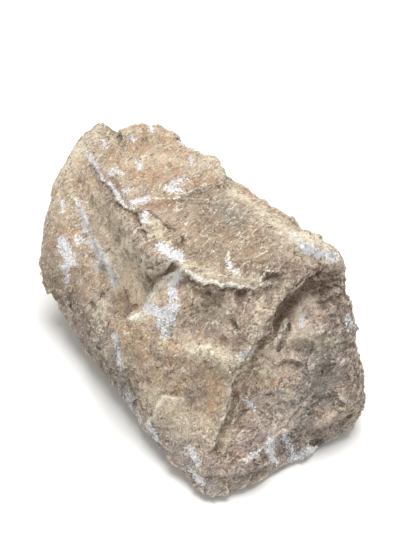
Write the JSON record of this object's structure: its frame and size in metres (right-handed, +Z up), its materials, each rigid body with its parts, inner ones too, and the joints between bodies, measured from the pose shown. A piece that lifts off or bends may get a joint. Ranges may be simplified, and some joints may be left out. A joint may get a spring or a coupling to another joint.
{
  "type": "honeycomb calcite specimen",
  "caption": "Rough quarried block of honeycomb calcite: a sloping bedded top, a stepped broken front, a hackly end and a flat underside to rest on.",
  "frame": {"origin": "middle of the bounding box, on the ground that the stone rests on", "axes": "+X along the stone's length towards its larger end, -Y out of the long broken front, +Z up"},
  "size_m": [0.495, 0.263, 0.2625],
  "materials": {
    "weathered_calcite": "matt broken and weathered calcite, sandy beige with cream, rust and grey zones and white bruises"
  },
  "bodies": {
    "root": {"calcite_stone": "weathered_calcite"}
  },
  "joints": []
}
